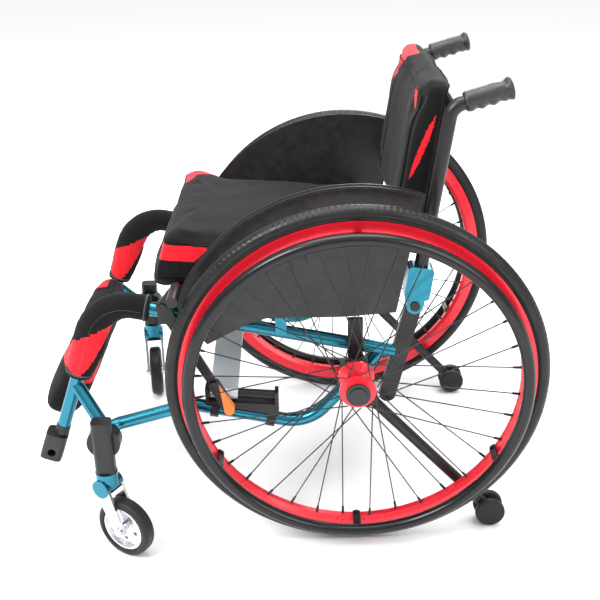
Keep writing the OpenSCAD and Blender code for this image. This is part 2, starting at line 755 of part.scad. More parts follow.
side(1) seat_rail();  // left_seat_rail
side(1) lower_rail();  // left_lower_rail
side(1) slide_bracket(bar_a_y);  // left_slide_bracket
side(1) caster_housing();  // left_caster_housing
side(1) axle_plate();  // left_axle_plate
side(1) axle_pin();  // left_axle_pin
side(1) back_bracket();  // left_back_bracket
side(1) sideguard();  // left_sideguard
side(1) brake_mount();  // left_brake_mount
side(1) brake_lever();  // left_brake_lever
side(1) sleeve();  // left_sleeve
side(1) foot_tube();  // left_foot_tube
side(1) foot_block();  // left_foot_block
side(1) caster_fork(left_swivel);  // left_caster_fork
side(1) caster_axle(left_swivel);  // left_caster_axle
side(1) caster_rim(left_swivel);  // left_caster_rim
side(1) caster_tyre(left_swivel);  // left_caster_tyre
side(1) tyre();  // left_tyre
side(1) rim();  // left_rim
side(1) spokes();  // left_spokes
side(1) hub();  // left_hub
side(1) handrim();  // left_handrim
side(1) back_post();  // left_back_post
side(1) push_grip();  // left_push_grip
side(1) antitip_arm();  // left_antitip_arm
side(1) antitip_wheel();  // left_antitip_wheel
side(-1) seat_rail();  // right_seat_rail
side(-1) lower_rail();  // right_lower_rail
side(-1) slide_bracket(bar_b_y);  // right_slide_bracket
side(-1) caster_housing();  // right_caster_housing
side(-1) axle_plate();  // right_axle_plate
side(-1) axle_pin();  // right_axle_pin
side(-1) back_bracket();  // right_back_bracket
side(-1) sideguard();  // right_sideguard
side(-1) brake_mount();  // right_brake_mount
side(-1) brake_lever();  // right_brake_lever
side(-1) sleeve();  // right_sleeve
side(-1) foot_tube();  // right_foot_tube
side(-1) foot_block();  // right_foot_block
side(-1) caster_fork(right_swivel);  // right_caster_fork
side(-1) caster_axle(right_swivel);  // right_caster_axle
side(-1) caster_rim(right_swivel);  // right_caster_rim
side(-1) caster_tyre(right_swivel);  // right_caster_tyre
side(-1) tyre();  // right_tyre
side(-1) rim();  // right_rim
side(-1) spokes();  // right_spokes
side(-1) hub();  // right_hub
side(-1) handrim();  // right_handrim
side(-1) back_post();  // right_back_post
side(-1) push_grip();  // right_push_grip
side(-1) antitip_arm();  // right_antitip_arm
side(-1) antitip_wheel();  // right_antitip_wheel
brace(1, bar_a_y);  // brace_a
brace(-1, bar_b_y);  // brace_b
brace_bolt();
seat_sling();
cushion();
back_pad();
back_pocket();
calf_pad();
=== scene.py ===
"""Looks of the manual wheelchair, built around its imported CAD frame.

Lengths in the piece tables are millimetres in the chair's own axes: the rear axle is at y = 0,
+x is the chair's left, -y its front, and z is height. P() turns them into metres in the row frame.
"""

import math

import bmesh
import bpy
import numpy as np
from mathutils import Matrix, Vector, noise


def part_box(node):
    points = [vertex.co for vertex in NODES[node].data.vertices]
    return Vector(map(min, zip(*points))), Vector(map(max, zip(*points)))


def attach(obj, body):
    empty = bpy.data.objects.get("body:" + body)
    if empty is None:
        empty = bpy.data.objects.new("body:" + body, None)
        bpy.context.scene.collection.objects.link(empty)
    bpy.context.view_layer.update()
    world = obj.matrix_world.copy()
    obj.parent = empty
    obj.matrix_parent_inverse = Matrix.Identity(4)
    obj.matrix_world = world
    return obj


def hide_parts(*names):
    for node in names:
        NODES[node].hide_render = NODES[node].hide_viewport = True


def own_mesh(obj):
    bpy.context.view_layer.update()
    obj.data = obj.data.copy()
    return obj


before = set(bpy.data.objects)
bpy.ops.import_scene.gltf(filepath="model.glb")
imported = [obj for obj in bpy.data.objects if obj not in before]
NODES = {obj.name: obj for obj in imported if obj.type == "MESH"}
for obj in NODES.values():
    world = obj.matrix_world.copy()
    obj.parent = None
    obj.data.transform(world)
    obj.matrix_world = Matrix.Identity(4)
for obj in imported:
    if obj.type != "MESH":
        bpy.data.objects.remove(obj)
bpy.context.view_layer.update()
SIDES = (("left", 1), ("right", -1))

hub_lo, hub_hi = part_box("left_hub")
CY = (hub_lo.y + hub_hi.y) / 2
AXLE_Z = (hub_lo.z + hub_hi.z) / 2
MM = 0.001

# ---------------------------------------------------------------- places


def P(x, y, z):
    """A point of the chair, in millimetres, as metres in the row frame."""
    return Vector((x * MM, y * MM + CY, z * MM))


def place(x, y, z, tilt):
    """A frame at that point whose axes lean back by tilt degrees."""
    return Matrix.Translation(P(x, y, z)) @ Matrix.Rotation(math.radians(-tilt), 4, "X")


FRAME_X = 203
SEAT = place(0, 0, 394, 5)
BACK = place(0, 94, 404, 8.5)
FRONT = place(0, -487.085, 193.56, 20)

# ---------------------------------------------------------------- camera

PITCH, YAW, ROLL = (math.radians(a) for a in (24.077, 0.395, -1.295))
forward = Vector((-math.cos(PITCH) * math.cos(YAW), -math.cos(PITCH) * math.sin(YAW), -math.sin(PITCH)))
flat_right = forward.cross(Vector((0, 0, 1))).normalized()
flat_up = flat_right.cross(forward)
right = flat_right * math.cos(ROLL) + flat_up * math.sin(ROLL)
up = flat_up * math.cos(ROLL) - flat_right * math.sin(ROLL)
camera_data = bpy.data.cameras.new("camera")
camera_data.sensor_width = 36
camera_data.lens = 58.85
camera = bpy.data.objects.new("camera", camera_data)
bpy.context.scene.collection.objects.link(camera)
camera.matrix_world = Matrix.Translation(P(1622.4, -77.1, 1046.3)) @ Matrix(
    (right, up, -forward)
).transposed().to_4x4()
bpy.context.scene.camera = camera

# ---------------------------------------------------------------- materials


class Shader:
    """A Principled material with small helpers for its node tree."""

    def __init__(self, name, color, rough, metal=0.0, **sockets):
        self.mat = bpy.data.materials.new(name)
        self.mat.use_nodes = True
        self.mat.diffuse_color = (*color, 1)
        self.tree = self.mat.node_tree
        self.bsdf = self.tree.nodes["Principled BSDF"]
        self.color = color
        self.put(self.bsdf, "Base Color", (*color, 1))
        self.put(self.bsdf, "Roughness", rough)
        self.put(self.bsdf, "Metallic", metal)
        for key, value in sockets.items():
            self.put(self.bsdf, key.replace("_", " "), value)
        self.coords = self.node("ShaderNodeTexCoord").outputs["Object"]
        self.height = None

    def node(self, kind, **values):
        n = self.tree.nodes.new(kind)
        for key, value in values.items():
            if hasattr(n, key):
                setattr(n, key, value)
            else:
                self.put(n, key.replace("_", " "), value)
        return n

    def put(self, n, socket, value):
        if isinstance(value, bpy.types.NodeSocket):
            self.tree.links.new(value, n.inputs[socket])
        else:
            n.inputs[socket].default_value = value

    def noise(self, scale, detail=3.0, stretch=(1, 1, 1), rough=0.55):
        m = self.node("ShaderNodeMapping", Vector=self.coords, Scale=stretch)
        return self.node(
            "ShaderNodeTexNoise", Vector=m.outputs[0], Scale=scale, Detail=detail, Roughness=rough
        ).outputs["Fac"]

    def cells(self, scale):
        """A regular grid of cells, for a weave."""
        n = self.node("ShaderNodeTexVoronoi", Vector=self.coords, feature="F1", Scale=scale)
        n.inputs["Randomness"].default_value = 0.0
        return n.outputs["Distance"]

    def math(self, op, a, b=0.0):
        n = self.node("ShaderNodeMath", operation=op)
        self.put(n, 0, a)
        self.put(n, 1, b)
        return n.outputs[0]

    def spread(self, value, low, high, start=0.35, end=0.65):
        return self.node(
            "ShaderNodeMapRange", Value=value, From_Min=start, From_Max=end, To_Min=low, To_Max=high
        ).outputs[0]

    def tint(self, value, low, high, start=0.35, end=0.65):
        """Colour between two shades of the base colour, by value."""
        n = self.node("ShaderNodeMix", data_type="RGBA")
        self.put(n, 0, self.spread(value, 0.0, 1.0, start, end))
        n.inputs[6].default_value = (*[min(1, c * low) for c in self.color], 1)
        n.inputs[7].default_value = (*[min(1, c * high) for c in self.color], 1)
        self.put(self.bsdf, "Base Color", n.outputs[2])

    def bump(self, height, distance, strength=1.0):
        b = self.node("ShaderNodeBump", Height=height, Distance=distance, Strength=strength)
        if self.height is not None:
            self.put(b, "Normal", self.height)
        self.height = b.outputs[0]
        self.put(self.bsdf, "Normal", self.height)


def metal(name, color, rough, metallic=0.9, spread=0.08, drawn=True, **sockets):
    """Anodised or painted metal: soft shade drift and a few rubbed spots; drawn adds fine drawing marks."""
    s = Shader(name, color, rough, metallic, **sockets)
    s.tint(s.noise(9, 4), 0.92, 1.08)
    marks = s.noise(420, 2, (1, 0.08, 1)) if drawn else s.noise(6, 2)
    s.put(s.bsdf, "Roughness", s.spread(s.math("ADD", s.math("MULTIPLY", marks, 0.5), s.math(
        "MULTIPLY", s.noise(28, 5), 0.5)), rough - spread, rough + spread))
    if drawn:
        s.bump(marks, 0.00002, 0.3)
    return s.mat


def plastic(name, color, rough, grain=900, depth=0.00012):
    """Moulded plastic with a spark-eroded grain."""
    s = Shader(name, color, rough)
    s.tint(s.noise(14, 4), 0.85, 1.2)
    s.put(s.bsdf, "Roughness", s.spread(s.noise(60, 4), rough - 0.07, rough + 0.1))
    s.bump(s.noise(grain, 2), depth, 0.6)
    return s.mat


def cloth(name, color, weave=520, depth=0.00035, rough=0.9, sheen=0.25):
    """Spacer mesh or plain weave: regular cells, with slow shade drift and soft creases."""
    s = Shader(name, color, rough, Sheen_Weight=sheen, Sheen_Roughness=0.55)
    s.put(s.bsdf, "Specular IOR Level", 0.15)
    holes = s.cells(weave)
    drift = s.math("MULTIPLY", s.noise(11, 5), 0.6)
    s.tint(s.math("ADD", drift, s.math("MULTIPLY", holes, 0.5)), 0.6, 1.35, 0.3, 0.75)
    s.bump(s.noise(26, 4, rough=0.6), 0.0022, 0.5)
    s.bump(holes, depth, 0.8)
    return s.mat


def rubber(name, color, rough, wheel=None, lugs=0):
    """Rubber; wheel = (x, y, z) in metres adds lugs round that axle."""
    s = Shader(name, color, rough)
    s.put(s.bsdf, "Specular IOR Level", 0.3)
    s.tint(s.noise(18, 5), 0.7, 1.5)
    s.put(s.bsdf, "Roughness", s.spread(s.noise(45, 5), rough - 0.08, rough + 0.12))
    s.bump(s.noise(700, 2), 0.0001, 0.5)
    if wheel:
        parts = s.node("ShaderNodeSeparateXYZ", Vector=s.coords).outputs
        y = s.math("SUBTRACT", parts[1], wheel[1])
        z = s.math("SUBTRACT", parts[2], wheel[2])
        turn = s.math("MULTIPLY", s.math("ARCTAN2", z, y), lugs)
        reach = s.math("SQRT", s.math("ADD", s.math("MULTIPLY", y, y), s.math("MULTIPLY", z, z)))
        crown = s.spread(reach, 0.0, 1.0, 0.2935, 0.2955)
        s.bump(s.math("MULTIPLY", s.math("SINE", turn), crown), 0.0003, 0.6)
    return s.mat


teal = metal(
    "teal_anodised", (0.020, 0.185, 0.262), 0.24, 0.92, 0.05, False, Coat_Weight=0.25, Coat_Roughness=0.1
)
black_metal = metal("black_powder_coat", (0.009, 0.009, 0.010), 0.36, 0.2)
gloss_black = metal("handrim_gloss_black", (0.006, 0.006, 0.007), 0.22, 0.0, 0.06, Specular_IOR_Level=0.35)
red_metal = metal(
    "red_anodised", (0.72, 0.010, 0.026), 0.28, 0.35, 0.03, False, Coat_Weight=0.4, Coat_Roughness=0.08
)
steel = metal("polished_steel", (0.66, 0.67, 0.69), 0.2, 1.0)
alloy = metal("polished_alloy", (0.74, 0.75, 0.77), 0.24, 1.0)
# Painted reflection: the braces are teal anodised tubes, and this light silver-grey colour stands in for the
# overhead light mirrored in their flat top faces.
brace_reflection_grey = metal("brace_painted_reflection", (0.66, 0.71, 0.74), 0.36, 0.35)
spoke_metal = metal("spoke_dark_steel", (0.035, 0.035, 0.038), 0.3, 0.8)
guard_plastic = plastic("guard_plastic", (0.013, 0.013, 0.014), 0.42, 700)
grip_plastic = plastic("grip_plastic", (0.014, 0.014, 0.015), 0.4, 500, 0.0003)
black_plastic = plastic("black_plastic", (0.009, 0.009, 0.010), 0.46)
orange_grip = plastic("orange_grip", (0.80, 0.20, 0.03), 0.42)
small_rubber = rubber("small_wheel_rubber", (0.010, 0.010, 0.0105), 0.5)
caster_rubber = rubber("caster_rubber", (0.009, 0.009, 0.0095), 0.45)
tyre_rubber = rubber("tyre_rubber", (0.007, 0.007, 0.0075), 0.36, (0, CY, AXLE_Z), 200)
black_cloth = cloth("black_mesh_cloth", (0.0042, 0.0042, 0.0046), sheen=0.06)
plain_cloth = cloth("black_plain_cloth", (0.0038, 0.0038, 0.0042), 900, 0.0002, sheen=0.06)
red_cloth = cloth("red_mesh_cloth", (0.74, 0.008, 0.018), 520, 0.00035, 0.85, 0.15)
binding_cloth = cloth("grey_binding", (0.05, 0.05, 0.053), 1100, 0.0002)
thread = plastic("light_thread", (0.07, 0.07, 0.073), 0.7, 1500)

PAINT = {
    "seat_rail": teal, "lower_rail": teal, "slide_bracket": black_metal, "caster_housing": black_metal,
    "axle_plate": black_metal, "axle_pin": steel, "back_bracket": black_metal, "sideguard": guard_plastic,
    "brake_mount": black_metal, "brake_lever": black_metal, "foot_tube": steel, "foot_block": black_plastic,
    "caster_fork": teal, "caster_axle": steel, "caster_rim": alloy, "caster_tyre": caster_rubber,
    "tyre": tyre_rubber, "rim": red_metal, "spokes": spoke_metal, "hub": red_metal, "handrim": gloss_black,
    "back_post": black_metal, "push_grip": grip_plastic, "antitip_arm": black_metal,
    "antitip_wheel": small_rubber, "brace_a": brace_reflection_grey, "brace_b": brace_reflection_grey, "brace_bolt": steel,
}


def paint(node, main, *others):
    """Gives a CAD node its material, and others = (material, test) to faces whose middle passes the test."""
    o = NODES[node]
    o.data.materials.clear()
    for m in (main, *(m for m, _ in others)):
        o.data.materials.append(m)
    o.data.polygons.foreach_set("material_index", [0] * len(o.data.polygons))
    for i, (_, test) in enumerate(others, 1):
        for f in o.data.polygons:
            if test(f.center):
                f.material_index = i


for node in NODES:
    kind = node.split("_", 1)[1] if node.startswith(("left_", "right_")) else node
    if kind in PAINT:
        paint(node, PAINT[kind])

# Where one CAD node changes colour, in metres: a height, a distance from the middle or from an axis
ORANGE_TOP = P(0, -226, 253).z
CAP_X = 0.3075
COLLAR_R = 0.0095
SOCKET_TOP = 0.066
CROWN_BOTTOM = 0.104
FRONT_INVERSE = FRONT.inverted()
BACK_INVERSE = BACK.inverted()


def on_collar(c):
    """True on the plastic collar below the end of a front tube, whose axis is FRONT's z."""
    _, y, z = FRONT_INVERSE @ Vector((0, c.y, c.z))
    return z < 0 and Vector((abs(c.x) - FRAME_X * MM, y)).length > COLLAR_R


for side, _ in SIDES:
    paint(f"{side}_brake_lever", black_metal, (orange_grip, lambda c: c.z < ORANGE_TOP))
    paint(f"{side}_axle_pin", steel, (black_plastic, lambda c: abs(c.x) > CAP_X))
    paint(f"{side}_foot_tube", steel, (black_plastic, on_collar))
    paint(f"{side}_back_post", black_metal, (teal, lambda c: (BACK_INVERSE @ c).z < SOCKET_TOP))
    paint(f"{side}_caster_fork", teal, (steel, lambda c: c.z < CROWN_BOTTOM))

# ---------------------------------------------------------------- mesh helpers


def new_object(name, verts, faces, mats, smooth=True):
    mesh = bpy.data.meshes.new(name)
    mesh.from_pydata([tuple(v) for v in verts], [], faces)
    mesh.validate()
    bm = bmesh.new()
    bm.from_mesh(mesh)
    bmesh.ops.recalc_face_normals(bm, faces=bm.faces)
    bm.to_mesh(mesh)
    bm.free()
    for m in mats:
        mesh.materials.append(m)
    mesh.polygons.foreach_set("use_smooth", [smooth] * len(mesh.polygons))
    o = bpy.data.objects.new(name, mesh)
    bpy.context.scene.collection.objects.link(o)
    return o


def flatten(o, *modifiers):
    """Applies modifiers = (kind, {settings}) to the object's mesh."""
    for kind, values in modifiers:
        m = o.modifiers.new(kind, kind)
        for key, value in values.items():
            setattr(m, key, value)
    bpy.context.view_layer.update()
    mesh = bpy.data.meshes.new_from_object(o.evaluated_get(bpy.context.evaluated_depsgraph_get()))
    o.modifiers.clear()
    old = o.data
    o.data = mesh
    bpy.data.meshes.remove(old)
    mesh.name = o.name
    mesh.polygons.foreach_set("use_smooth", [True] * len(mesh.polygons))
    return o


def points_of(o):
    co = np.zeros(len(o.data.vertices) * 3)
    o.data.vertices.foreach_get("co", co)
    return co.reshape(-1, 3)


def set_points(o, co):
    o.data.vertices.foreach_set("co", np.asarray(co, np.float32).ravel())
    o.data.update()


def block(name, half, radius, mats, steps=16):
    """A box about the origin with rounded edges, half = its half sizes in metres."""
    bm = bmesh.new()
    bmesh.ops.create_cube(bm, size=2)
    bmesh.ops.subdivide_edges(bm, edges=bm.edges[:], cuts=steps, use_grid_fill=True)
    inner = Vector([h - radius for h in half])
    for v in bm.verts:
        p = Vector([v.co[i] * half[i] for i in range(3)])
        core = Vector([max(-inner[i], min(inner[i], p[i])) for i in range(3)])
        d = p - core
        v.co = core + d.normalized() * radius if d.length > 1e-9 else p
    mesh = bpy.data.meshes.new(name)
    bm.to_mesh(mesh)
    bm.free()
    for m in mats:
        mesh.materials.append(m)
    o = bpy.data.objects.new(name, mesh)
    bpy.context.scene.collection.objects.link(o)
    return o


SMOOTHER = ("SUBSURF", {"levels": 1, "render_levels": 1})
VOXEL = 0.006
PRESSURE = 4.0
SWELL_CAP = 0.007
SWELL_FRAMES = 20


def swell(o, pinned=None):
    """Inflates a closed mesh as cloth, by SWELL_CAP at most, and subdivides it once; pinned(points) stays."""
    flatten(o, ("REMESH", {"mode": "VOXEL", "voxel_size": VOXEL}))
    rest = points_of(o)
    if pinned is not None:
        group = o.vertex_groups.new(name="seam")
        group.add([int(i) for i in np.nonzero(pinned(rest))[0]], 1.0, "REPLACE")
    m = o.modifiers.new("cloth", "CLOTH")
    m.settings.quality = 5
    m.settings.mass = 0.3
    m.settings.tension_stiffness = m.settings.compression_stiffness = 12
    m.settings.bending_stiffness = 0.4
    m.settings.use_pressure = True
    m.settings.uniform_pressure_force = PRESSURE
    m.settings.effector_weights.gravity = 0
    if pinned is not None:
        m.settings.vertex_group_mass = "seam"
    scene = bpy.context.scene
    for f in range(1, SWELL_FRAMES + 1):
        scene.frame_set(f)
    flatten(o)
    scene.frame_set(1)
    moved = points_of(o)
    step = moved - rest
    length = np.linalg.norm(step, axis=1, keepdims=True)
    step *= np.minimum(1, SWELL_CAP / np.maximum(length, 1e-9))
    set_points(o, rest + step)
    o.vertex_groups.clear()
    return flatten(o, SMOOTHER)


def normals_of(o):
    n = np.zeros(len(o.data.vertices) * 3)
    o.data.vertices.foreach_get("normal", n)
    return n.reshape(-1, 3)


def press(o, depth):
    """Moves each point along its normal by depth(points), in metres, positive outward."""
    co = points_of(o)
    set_points(o, co + normals_of(o) * depth(co)[:, None])


def dent(distance, width):
    """A soft groove profile, 1 on the line and 0 a few widths away."""
    return np.exp(-((distance / width) ** 2))


def ease(t):
    """0 to 1 with soft ends, for t from 0 to 1."""
    return t * t * (3 - 2 * t)


def wrinkles(co, scale, seed):
    """Smooth noise from -1 to 1 at each point."""
    return np.array([noise.noise(Vector(p) * scale + Vector((seed, seed, seed))) for p in co])


PROBE = 0.2
SNAP = 1.5


def patch(o, field):
    """Faces where field(points in mm) > 0 take the second material; points near its border move onto it."""
    for _ in range(2):
        co = points_of(o) * 1000
        f = field(co)
        slope = np.column_stack([(field(co + PROBE * np.eye(3)[k]) - f) / PROBE for k in range(3)])
        size = np.maximum((slope ** 2).sum(1), 0.2)
        step = -f / size
        near = np.abs(step) * np.sqrt(size) < SNAP
        co[near] += slope[near] * step[near, None]
        set_points(o, co / 1000)
    co = points_of(o) * 1000
    f = field(co)
    for face in o.data.polygons:
        if np.mean(f[list(face.vertices)]) > 0:
            face.material_index = 1


def frames_along(points, closed=False):
    """Directions and two cross axes at each point of a line, carried along without twist."""
    n = len(points)
    dirs = []
    for i in range(n):
        a = points[(i - 1) % n] if closed or i > 0 else points[i]
        b = points[(i + 1) % n] if closed or i < n - 1 else points[i]
        dirs.append((b - a).normalized())
    side_axis = dirs[0].orthogonal().normalized()
    out = []
    for d in dirs:
        side_axis = (side_axis - d * side_axis.dot(d)).normalized()
        out.append((d, side_axis, d.cross(side_axis)))
    return out


def sweep(name, points, radius, mats, sides, closed=False):
    """A tube along the points; radius(i, angle) in metres. The ends are closed with a cap."""
    verts, faces = [], []
    for i, (p, (_, u, v)) in enumerate(zip(points, frames_along(points, closed))):
        for k in range(sides):
            a = 2 * math.pi * k / sides
            r = radius(i, a) if callable(radius) else radius
            verts.append(p + u * math.cos(a) * r + v * math.sin(a) * r)
    rings = len(points)
    for i in range(rings if closed else rings - 1):
        j = (i + 1) % rings
        for k in range(sides):
            l = (k + 1) % sides
            faces.append((i * sides + k, i * sides + l, j * sides + l, j * sides + k))
    if not closed:
        faces.append(tuple(range(sides)))
        faces.append(tuple(range((rings - 1) * sides, rings * sides)))
    return new_object(name, verts, faces, mats)


def resample(points, step):
    """Points spaced by step along a line."""
    out, left = [points[0]], step
    for a, b in zip(points, points[1:]):
        length = (b - a).length
        at = left
        while at <= length:
            out.append(a.lerp(b, at / length))
            at += step
        left = at - length
    return out


def on_surface(o, points, lift):
    """Each point moved to the object's nearest surface point, then out along its normal."""
    out = []
    for p in points:
        hit, where, normal, _ = o.closest_point_on_mesh(p)
        out.append(where + normal * lift if hit else p)
    return out


def lathe(verts, faces, start, d, profile, sides):
    """Adds a turned piece from start along d; profile = (distance, radius) pairs in millimetres."""
    u = d.orthogonal().normalized()
    v = d.cross(u)
    base = len(verts)
    for t, r in profile:
        for k in range(sides):
            a = 2 * math.pi * k / sides
            verts.append(start + d * (t * MM) + (u * math.cos(a) + v * math.sin(a)) * (r * MM))
    last = base + (len(profile) - 1) * sides
    for b in range(base, last, sides):
        for k in range(sides):
            l = (k + 1) % sides
            faces.append((b + k, b + l, b + sides + l, b + sides + k))
    faces.append(tuple(base + k for k in range(sides)))
    faces.append(tuple(last + k for k in range(sides)))


STITCH_PITCH = 4.2
STITCH_LIFT = 0.15
STITCH = ((-1.3, 0.147), (-0.91, 0.42), (0.91, 0.42), (1.3, 0.147))
STITCH_SIDES = 6


def stitch(name, o, line):
    """A row of short thread stitches along a line on the surface of o."""
    spots = on_surface(o, resample(line, STITCH_PITCH * MM), STITCH_LIFT * MM)
    verts, faces = [], []
    for a, b in zip(spots, spots[1:]):
        if (b - a).length > 1e-6:
            lathe(verts, faces, (a + b) / 2, (b - a).normalized(), STITCH, STITCH_SIDES)
    return new_object(name, verts, faces, [thread])


PIPING_LIFT = 0.4
PIPING_SIDES = 8


def piping(name, o, line, radius, mat=plain_cloth):
    """A closed cord sewn along a line on the surface of o."""
    return sweep(name, on_surface(o, line, PIPING_LIFT * MM), radius * MM, [mat], PIPING_SIDES, True)


# ---------------------------------------------------------------- soft pieces
# Each is built in its own frame, in metres, and keeps that frame as its matrix.


def set_down(where, body, *pieces, fold=True):
    """Puts pieces built in the frame `where` on a body; fold = True gives each piece its own copy of its
    mesh.
    """
    for o in pieces:
        o.matrix_world = where
        bpy.context.view_layer.update()
        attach(o, body)
        if fold:
            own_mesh(o)


def stands_for(node):
    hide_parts(node)


LINE_STEP = 6
CORNER_STEPS = 6


def loop_line(hu, hv, r, w, flat=False):
    """A closed rounded rectangle of half sizes hu and hv: upright at y = w, or flat at z = w."""
    pts = []
    corners = ((hu - r, hv - r, 0), (r - hu, hv - r, 90), (r - hu, r - hv, 180), (hu - r, r - hv, 270))
    for cu, cv, a0 in corners:
        for k in range(CORNER_STEPS + 1):
            a = math.radians(a0 + 90 * k / CORNER_STEPS)
            u, v = cu + r * math.cos(a), cv + r * math.sin(a)
            pts.append((u, v, w) if flat else (u, w, v))
    return line(*pts, pts[0])


def line(*pts):
    """Evenly spaced points along a line given in millimetres, in metres."""
    return resample([Vector(p) * MM for p in pts], LINE_STEP * MM)


def seat_cushion():
    """Crowned, with its front edge raised, a front face that hangs before the sling, and two seams."""
    where = SEAT @ Matrix.Translation(Vector((0, -137, 53)) * MM)
    half = (0.190, 0.180, 0.0335)
    o = block("seat_cushion", half, 0.014, [black_cloth, red_cloth])
    co = points_of(o)
    x, y, z = co.T
    crown = (1 - (x / half[0]) ** 2).clip(0) * (1 - (y / half[1]) ** 2).clip(0)
    front = ease(np.clip((-y - 0.09) / 0.08, 0, 1))
    inside = np.clip((0.184 - np.abs(x)) / 0.012, 0, 1)
    co[:, 2] += np.where(z > 0, 0.004 * crown + 0.012 * front, -0.018 * front * inside)
    co[:, 1] -= front * np.clip(-z / 0.03, -0.3, 1) * 0.008
    set_points(o, co)
    swell(o, lambda c: np.abs(c[:, 2] + 0.0330) < 0.003)
    co = points_of(o)
    low = np.where((co[:, 1] < -0.13) & (np.abs(co[:, 0]) < 0.18), -0.061, -0.0375)
    set_points(o, np.column_stack([co[:, 0], co[:, 1], np.maximum(co[:, 2], low)]))

    def depth(c):
        x, y, z = c.T * 1000
        flank = (np.abs(x) > 180) | (np.abs(y) > 168)
        top_seam = dent(z - 31 - 11 * np.clip((-y - 90) / 80, 0, 1), 2.4) * flank
        low_seam = dent(z + 24, 2.4) * flank
        waves = wrinkles(c, 21, 3.0) * 1.3 + wrinkles(c, 60, 9.0) * 0.35
        return (-2.0 * top_seam - 1.8 * low_seam + waves) * MM

    press(o, depth)

    def red(c):
        x, y, z = c.T
        far_top = np.minimum(z - 20, -x - 108 - 0.8 * (y + 176))
        band = np.minimum(29 - z, z - 3)
        near_side = np.minimum(np.minimum(x - 150, band), -98 - 0.9 * (29 - z) - y)
        return np.maximum(far_top, near_side)

    patch(o, red)
    stands_for("cushion")
    set_down(
        where, "seat", o,
        piping("seat_cushion_piping", o, loop_line(192, 181, 16, 40, flat=True), 1.3),
        piping("seat_cushion_piping_low", o, loop_line(192, 181, 16, -24, flat=True), 1.4),
        stitch("seat_cushion_stitch_front", o, line((-178, -174, 44), (178, -174, 44))),
    )


def seat_sling():
    """The cloth under the cushion: over one seat tube, across with a slight sag, over the other."""
    r, sag = 12.4, 5.5
    start_y, length = -295, 299
    wrap, rows = 8, 26
    section = []
    for k in range(wrap + 1):
        a = math.radians(205 - 115 * k / wrap)
        section.append((-FRAME_X + r * math.cos(a), r * math.sin(a)))
    for k in range(1, 24):
        t = k / 24
        section.append((-FRAME_X + 2 * FRAME_X * t, r - sag * math.sin(math.pi * t)))
    section += [(-x, z) for x, z in section[wrap::-1]]
    verts, faces = [], []
    for i in range(rows):
        y = start_y + length * i / (rows - 1)
        for x, z in section:
            verts.append(Vector((x, y, z)) * MM)
    n = len(section)
    for i in range(rows - 1):
        for k in range(n - 1):
            faces.append((i * n + k, i * n + k + 1, (i + 1) * n + k + 1, (i + 1) * n + k))
    o = new_object("seat_sling_cloth", verts, faces, [plain_cloth])
    flatten(o, ("SOLIDIFY", {"thickness": 0.0012, "offset": 0.0}))
    stands_for("seat_sling")
    hems = [
        stitch(f"seat_sling_stitch_{name}", o, line((s * 186, -290, 14), (s * 186, 0, 14)))
        for name, s in SIDES
    ]
    set_down(SEAT, "seat", o, *hems)


def back_rest():
    """Dished across, with a sewn border, side channels, a red slash on each side and red top corners."""
    where = BACK @ Matrix.Translation(Vector((0, -19, 217)) * MM)
    half = (0.1835, 0.0195, 0.1275)
    o = block("back_rest", half, 0.017, [black_cloth, red_cloth])
    co = points_of(o)
    x, y, z = co.T * 1000
    forward = 9 * np.clip((118 - z) / 60, 0, 1)
    dish = 15 * (1 - (x / 183.5) ** 2).clip(0)
    co[:, 1] += np.where(y < 0, dish - forward - 3, 0) * MM
    co[:, 2] += (6 * (1 - (x / 183.5) ** 2)).clip(0) * MM * np.where(z > 60, 1, 0)
    set_points(o, co)
    swell(o, lambda c: np.abs(np.abs(c[:, 0]) - half[0]) < 0.003)

    def depth(c):
        x, y, z = c.T * 1000
        face = y < -4
        ring = np.maximum(np.abs(x) - 168, np.abs(z) - 108)
        border = dent(ring, 2.6) * face
        sides = dent(np.abs(x) - 122, 3) * face * (np.abs(z) < 106)
        waves = wrinkles(c, 19, 5.0) * 1.5 + wrinkles(c, 55, 2.0) * 0.35
        return (-2.0 * border - 2.0 * sides + waves) * MM

    press(o, depth)

    def red(c):
        x, y, z = c.T
        t = np.clip((z - 28) / 54, -1.2, 1.2)
        lens = np.minimum(np.abs(x) - 160, 5 * (1 - t ** 2) - np.abs(y + 9 - 12 * t))
        corner = np.minimum(-y, z - 132 + 0.8 * (np.abs(x) - 66))
        corner = np.minimum(corner, np.where(x > 0, np.minimum(140 - x, 104 - z), 99))
        return np.maximum(lens, corner)

    patch(o, red)
    stands_for("back_pad")
    set_down(
        where, "left_back", o,
        piping("back_rest_piping", o, loop_line(168, 108, 20, -40), 1.4),
        piping("back_rest_piping_rear", o, loop_line(181, 121, 20, 24), 1.6),
        stitch("back_rest_stitch", o, line((-160, -44, -100), (160, -44, -100))),
    )


def back_pocket():
    """A flat bag on the back of the back rest, with a light edge."""
    where = BACK @ Matrix.Translation(Vector((0, 13.3, 221)) * MM)
    half = (0.150, 0.0042, 0.088)
    o = block("back_pocket_bag", half, 0.004, [plain_cloth])
    flatten(o, SMOOTHER)

    def depth(c):
        x, y, z = c.T * 1000
        across, up = (1 - (x / 150) ** 2).clip(0), (1 - (z / 92) ** 2).clip(0)
        belly = 5.0 * across * np.clip((70 - z) / 150, 0, 1) * up
        seam = dent(np.maximum(np.abs(x) - 143, -z - 81), 2.0)
        return (np.where(y > 0, belly - seam, 0) + wrinkles(c, 22, 8.0) * 0.8) * MM

    press(o, depth)
    stands_for("back_pocket")
    set_down(
        where, "left_back", o,
        piping("back_pocket_edge", o, loop_line(148, 86, 12, 8), 1.8, binding_cloth),
        stitch("back_pocket_stitch", o, line((-140, 14, 72), (140, 14, 72))),
    )


